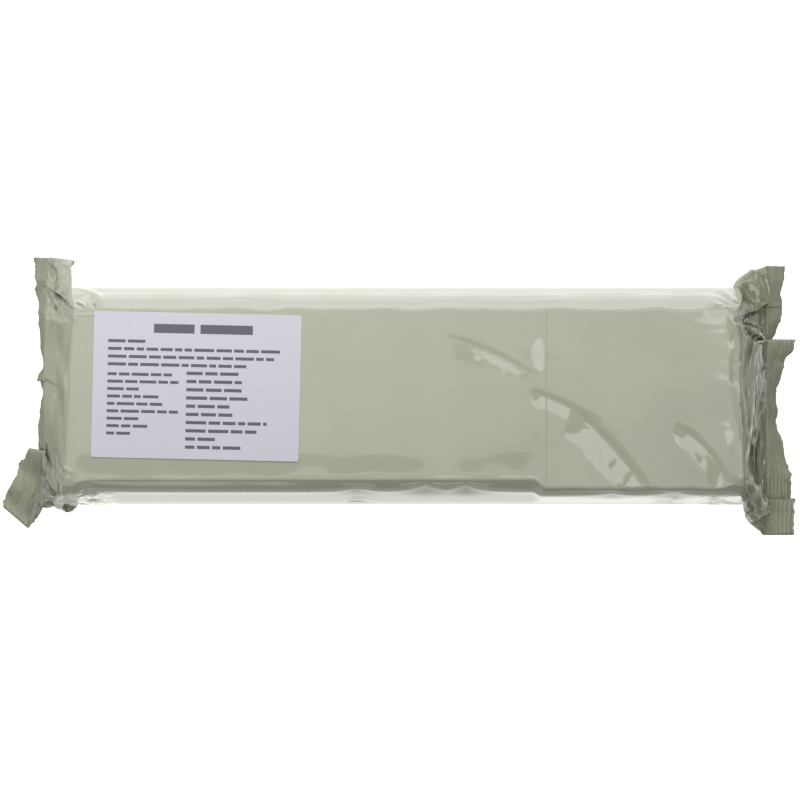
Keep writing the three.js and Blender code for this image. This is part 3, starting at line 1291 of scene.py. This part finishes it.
@dataclass
class Wrap:
    """The film round the block, from one cut edge to the other, as one closed skin.

    far_step, near_step, near_from: how far apart its rows are along the block, before and past a place;
    crease_crowd, crease_reach: how much closer they are round the crease.
    """

    block: Block
    left: FilmEnd
    right: FilmEnd
    relief: Relief
    far_step: float = 5.0
    near_step: float = 1.6
    near_from: float = 24.0
    crease_crowd: float = 4.0
    crease_reach: float = 2.0
    end_run: Pair = (-2.0, 3.0)  # from the block's end, over which the film leaves it
    corner_run: Pair = (30.0, 46.0)  # from the middle, over which a crumpled corner begins
    corner_reach: float = 25.0  # how far along the block the crumples of the near left corner run
    corner_fade: float = 15.0
    corner_top: float = 56.0
    panel_shade: float = 0.15  # how much of the painted end shade the straight panel past the left end gets
    panel_crease: float = 0.18  # and as creased

    def body_places(self) -> np.ndarray:
        """The rows between the two solved ends.

        Returns:
            Where along X they lie.
        """
        start = self.block.left_end + self.left.on_block
        stop = self.block.right_end - self.right.on_block
        far = np.linspace(start, self.near_from, round((self.near_from - start) / self.far_step) + 1)
        steps = round((stop - self.near_from) / self.near_step)
        crease = [self.relief.crease_x]
        near = crowded(self.near_from, stop, steps, crease, self.crease_crowd, self.crease_reach)
        return np.concatenate([far[1:-1], near[:-1]])

    def band(self, end: FilmEnd, places: np.ndarray) -> Grid:
        """The rows of a seal's band, from its root's neighbour to its cut edge."""
        rows = end.seal.band_rows()
        return np.stack([end.seal.ring(places, i / rows) for i in range(1, rows + 1)], axis=1)

    def sheet(self) -> tuple[Grid, np.ndarray]:
        """All rows of the film.

        Returns:
            The points, and for each row 1 if it is in a crimped band and 0 if not.
        """
        places = self.block.shares(self.left.columns)
        y, z = self.block.section(places)
        body = np.stack([np.stack([np.full(len(y), x), y, z]) for x in self.body_places()], axis=1)
        loose = np.concatenate([self.left.solve(places), body, self.right.solve(places)[:, ::-1]], axis=1)
        self.relief.shape(loose)
        first, last = self.band(self.left, places)[:, ::-1], self.band(self.right, places)
        whole = np.concatenate([first, loose, last], axis=1)
        crimped = np.zeros(whole.shape[1])
        crimped[: first.shape[1]] = 1
        crimped[-last.shape[1] :] = 1
        return whole, crimped

    def faces(self, rows: int, columns: int) -> list[list[int]]:
        """The faces of the skin, with both cut edges closed.

        Args:
            rows: rows of points.
            columns: points in a row.

        Returns:
            Corner numbers of each face: those between the rows, in order, and then those of the cut edges.
        """
        row, column = np.meshgrid(np.arange(rows - 1), np.arange(columns), indexing="ij")
        side = np.stack([row * columns + column, row * columns + (column + 1) % columns], axis=-1)
        quads = np.concatenate([side, side[..., ::-1] + columns], axis=-1).reshape(-1, 4)
        k = np.arange(columns // 2)
        strip = np.stack([k, (columns - k) % columns, columns - k - 1, k + 1], axis=-1)
        closing = np.concatenate([strip, strip[:, ::-1] + (rows - 1) * columns])
        return quads.tolist() + [list(dict.fromkeys(face)) for face in closing.tolist()]

    def marks(self, sheet: Grid) -> dict[str, np.ndarray]:
        """The mesh attributes that the film's finish reads.

        Args:
            sheet: the whole film.

        Returns:
            A value for each point, by the attribute's name.
        """
        x, y, z = sheet
        past_left = ease(self.block.left_end - x, *self.end_run)
        past_right = ease(x - self.block.right_end, *self.end_run)
        corner = ease(np.abs(y), *self.corner_run)
        near_corner = ease(-y, *self.corner_run) * (z < self.corner_top)
        near_corner = near_corner * ease(self.block.left_end + self.corner_reach - x, 0, self.corner_fade)
        panel = self.panel_crease + (1 - self.panel_crease) * corner
        return {
            # painted shade: full past the block's right end, only a share on the film past its left end
            END_SHADE: past_right + past_left * self.panel_shade,
            CREASED: past_right + past_left * panel + near_corner * (1 - past_left),
        }

    def make(self) -> bpy.types.Object:
        """Builds the film's mesh and dresses it.

        Returns:
            The piece.
        """
        sheet, crimped = self.sheet()
        rows, columns = sheet.shape[1:]
        piece = mesh_object("film_wrap", sheet.reshape(3, -1).T, self.faces(rows, columns), smooth=True)
        mesh = piece.data
        for name, values in self.marks(sheet).items():
            layer = mesh.attributes.new(name, "FLOAT", "POINT")
            layer.data.foreach_set("value", values.reshape(-1).astype(np.float32))
        mesh.materials.append(PackingFilm().make())
        mesh.materials.append(PackingFilm.crimped().make())
        in_band = np.ones(len(mesh.polygons), dtype=np.int32)
        in_band[: (rows - 1) * columns] = np.repeat(crimped[:-1] * crimped[1:], columns)
        mesh.polygons.foreach_set("material_index", in_band)
        return piece


# -----------------------------------------------------------------------------------------------------------
# The label


@dataclass(frozen=True)
class TextBlock:
    """Lines of print under each other.

    left, first: where the first line starts, from the label's centre; pitch: from line to line; height: of a
    bar; lengths: of the lines.
    """

    left: float
    first: float
    pitch: float
    height: float
    lengths: tuple[float, ...]


@dataclass
class Print:
    """Plain bars in place of lettering: one bar for each word, in the lines and columns of a goods label.

    centre, top: the label's centre and height; turn: degrees that it lies askew; title: left, base, width and
    height of its bars; word: shortest and longest word, and space: between words, both as multiples of their
    height.
    """

    centre: Pair
    top: float
    turn: float = -1.3
    thickness: float = 0.04
    seed: int = 5
    title: tuple[tuple[float, float, float, float], ...] = ((-22.0, 26.5, 20.5, 4.6), (1.5, 26.5, 26.5, 4.6))
    blocks: tuple[TextBlock, ...] = (
        TextBlock(-45.0, 21.3, 3.9, 1.55, (19, 87, 84, 70)),
        TextBlock(-45.0, 4.6, 3.75, 1.5, (33, 36, 16, 26, 28, 36, 16, 21, 12)),
        TextBlock(-5.0, 5.6, 4.15, 1.65, (27, 28, 28, 31, 22, 25, 41, 36, 15, 28)),
    )
    word: Pair = (2.2, 6.5)
    space: float = 0.75

    def bars(self) -> list[tuple[float, float, float, float]]:
        """Lays out the bars, from the label's centre.

        Returns:
            The left, base, width and height of each.
        """
        draw = np.random.default_rng(self.seed)
        found = list(self.title)
        for block in self.blocks:
            for k, length in enumerate(block.lengths):
                x, end = block.left, block.left + length
                while x < end - block.height:
                    width = min(draw.uniform(*self.word) * block.height, end - x)
                    found.append((x, block.first - block.pitch * k, width, block.height))
                    x += width + block.height * self.space
        return found

    def make(self) -> bpy.types.Object:
        """Builds all bars as thin closed plates on the label.

        Returns:
            The piece.
        """
        turn = radians(self.turn)
        points, faces = [], []
        for left, base, width, height in self.bars():
            first = len(points)
            right, top = left + width, base + height
            for z in (self.top, self.top + self.thickness):
                for x, y in ((left, base), (right, base), (right, top), (left, top)):
                    across = self.centre[0] + x * cos(turn) - y * sin(turn)
                    points.append((across, self.centre[1] + x * sin(turn) + y * cos(turn), z))
            sides = [(k, (k + 1) % 4, (k + 1) % 4 + 4, k + 4) for k in range(4)]
            faces += [[first + c for c in face] for face in [(3, 2, 1, 0), (4, 5, 6, 7), *sides]]
        piece = mesh_object("label_print", np.array(points), faces, smooth=False)
        piece.data.materials.append(ThermalInk().make())
        return piece


# -----------------------------------------------------------------------------------------------------------
# The studio


@dataclass(frozen=True)
class Lamp:
    """A rectangular soft light that faces the pack.

    radiance: how bright its face is; size: its width and height in metres; azimuth: degrees from +X towards
    +Y; elevation: degrees above the table; distance: from the pack, in metres.
    """

    name: str
    radiance: float
    size: Pair
    azimuth: float
    elevation: float
    distance: float

    def make(self) -> None:
        """Adds the light."""
        data = bpy.data.lights.new(self.name, "AREA")
        data.shape = "RECTANGLE"
        data.size, data.size_y = self.size
        data.energy = self.radiance * pi * self.size[0] * self.size[1]
        lamp = bpy.data.objects.new(self.name, data)
        level = self.distance * cos(radians(self.elevation))
        lamp.location = (
            level * cos(radians(self.azimuth)),
            level * sin(radians(self.azimuth)),
            self.distance * sin(radians(self.elevation)),
        )
        lamp.rotation_euler = (radians(90 - self.elevation), 0, radians(self.azimuth + 90))
        bpy.context.scene.collection.objects.link(lamp)


@dataclass
class Studio:
    """A white light table, soft lights behind and above the pack, and a camera straight above it.

    centre: what the camera looks at; view_width: across the picture, at the label's height; camera_height:
    above the label; all in millimetres.
    """

    centre: Pair = (1.0, -2.0)
    view_width: float = 404.6
    camera_height: float = 4000.0
    sensor: float = 36.0
    camera_reach: float = 100.0  # m
    backdrop: str = "ffffff"
    fill: float = 0.09
    table_half: float = 2500.0
    table_level: float = -0.3
    lamps: tuple[Lamp, ...] = (
        Lamp("key", 2.5, (0.75, 0.38), 106, 50, 0.45),
        Lamp("front", 1.05, (1.2, 0.5), -90, 40, 1.2),
        Lamp("left", 2.2, (0.6, 0.4), 222, 36, 1.2),
        Lamp("side", 3.2, (0.5, 0.35), 50, 76, 1.5),
        Lamp("strip", 8.0, (1.0, 0.12), 0, 46, 1.5),
        Lamp("ceiling", 1.3, (1.5, 0.7), 90, 90, 5.0),
    )

    def light_table(self) -> None:
        """Adds the table, whose own light shows in the film but doesn't light it from below."""
        half = self.table_half
        square = ((-half, -half), (half, -half), (half, half), (-half, half))
        corners = np.array([(x, y, self.table_level) for x, y in square])
        table = mesh_object("light_table", corners, [[0, 1, 2, 3]], smooth=False)
        table.data.materials.append(LitAcrylic().make())
        table.visible_diffuse = False

    def make(self, top: float) -> None:
        """Builds the studio.

        Args:
            top: height of the label, in millimetres.
        """
        scene = bpy.context.scene
        scene.view_settings.view_transform = "Standard"
        world = bpy.data.worlds.new("studio")
        world.use_nodes = True
        light = world.node_tree.nodes["Background"]
        light.inputs["Color"].default_value = linear(self.backdrop)
        light.inputs["Strength"].default_value = self.fill
        scene.world = world
        self.light_table()
        for lamp in self.lamps:
            lamp.make()
        data = bpy.data.cameras.new("camera")
        data.sensor_width = self.sensor
        data.lens = self.sensor * self.camera_height / self.view_width
        data.clip_end = self.camera_reach
        camera = bpy.data.objects.new("camera", data)
        camera.location = (self.centre[0] * MM, self.centre[1] * MM, (top + self.camera_height) * MM)
        scene.collection.objects.link(camera)
        scene.camera = camera


# -----------------------------------------------------------------------------------------------------------
# The pack


LEFT_STATIONS = [
    Station(0.00, 24.0, 70.5, 24.0, 62, 4, 16.0),
    Station(0.14, 24.0, 56.0, 34.0, 66, 0, 16.0),
    Station(0.28, 23.5, 38.0, 50.0, 78, 0, 16.0),
    Station(0.45, 23.0, 15.0, 53.5, 84, 0, 15.5),
    Station(0.60, 23.0, -4.0, 54.0, 82, 0, 16.0),
    Station(0.75, 23.5, -25.0, 53.0, 76, 0, 16.5),
    Station(0.88, 21.0, -47.0, 32.0, 20, 36, 17.0),
    Station(1.00, 13.0, -67.5, 22.0, 4, 40, 17.0),
]
RIGHT_STATIONS = [
    Station(0.000, 14.0, 66.5, 24.0, 50, 0, 16.5),
    Station(0.120, 14.5, 50.0, 26.0, 60, 0, 16.5),
    Station(0.250, 14.5, 32.0, 27.0, 70, 0, 16.0),
    Station(0.275, 14.5, 28.7, 27.0, 74, 0, 16.0),
    Station(0.297, 14.5, 26.0, 27.0, 18, 0, 16.0),
    Station(0.355, 14.5, 17.7, 27.0, 56, 0, 16.5),
    Station(0.500, 14.5, -2.0, 27.0, 72, 0, 16.5),
    Station(0.645, 14.5, -22.0, 27.0, 62, 0, 16.5),
    Station(0.790, 14.5, -42.0, 27.0, 38, 0, 16.5),
    Station(1.000, 15.3, -71.0, 23.0, 18, 0, 16.5),
]
LEFT_PLEATS = [Pleat(0.15, 3.2, 1), Pleat(0.50, 3.4, -1), Pleat(0.78, 3.6, 1)]
RIGHT_PLEATS = [Pleat(0.14, 3.6, -1), Pleat(0.286, 3.4, 1), Pleat(0.88, 3.6, 1)]


def main() -> None:
    """Builds the pack's visible pieces and the studio, and logs the face counts of the film and the print."""
    low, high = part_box("pack")
    label_low, label_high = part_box("label")
    block = Block(height=high.z / MM)
    left_seal = Seal(End.LEFT, low.x / MM, LEFT_STATIONS, LEFT_PLEATS, seed=3)
    right_seal = Seal(End.RIGHT, high.x / MM, RIGHT_STATIONS, RIGHT_PLEATS, seed=8)
    left = FilmEnd(block, left_seal, seed=11, free=32.6, rise=0.56, taut=37.0, crumple=0.4)
    right = FilmEnd(block, right_seal, seed=23, free=36.6, crumple=1.6)
    wrap = Wrap(block, left, right, Relief(block)).make()
    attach(wrap, BODY)
    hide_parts("pack")
    log.info("film wrap: %d faces", len(wrap.data.polygons))

    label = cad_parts["label"]
    label.data.materials.clear()
    label.data.materials.append(LabelPaper().make())
    log.info("label: paper on the packed plate")

    centre = ((label_low.x + label_high.x) / 2 / MM, (label_low.y + label_high.y) / 2 / MM)
    marks = Print(centre, label_high.z / MM).make()
    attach(marks, BODY)
    log.info("label print: %d faces", len(marks.data.polygons))

    Studio().make(label_high.z / MM)


if __name__ == "__main__":
    logging.basicConfig(level=logging.INFO)
    main()
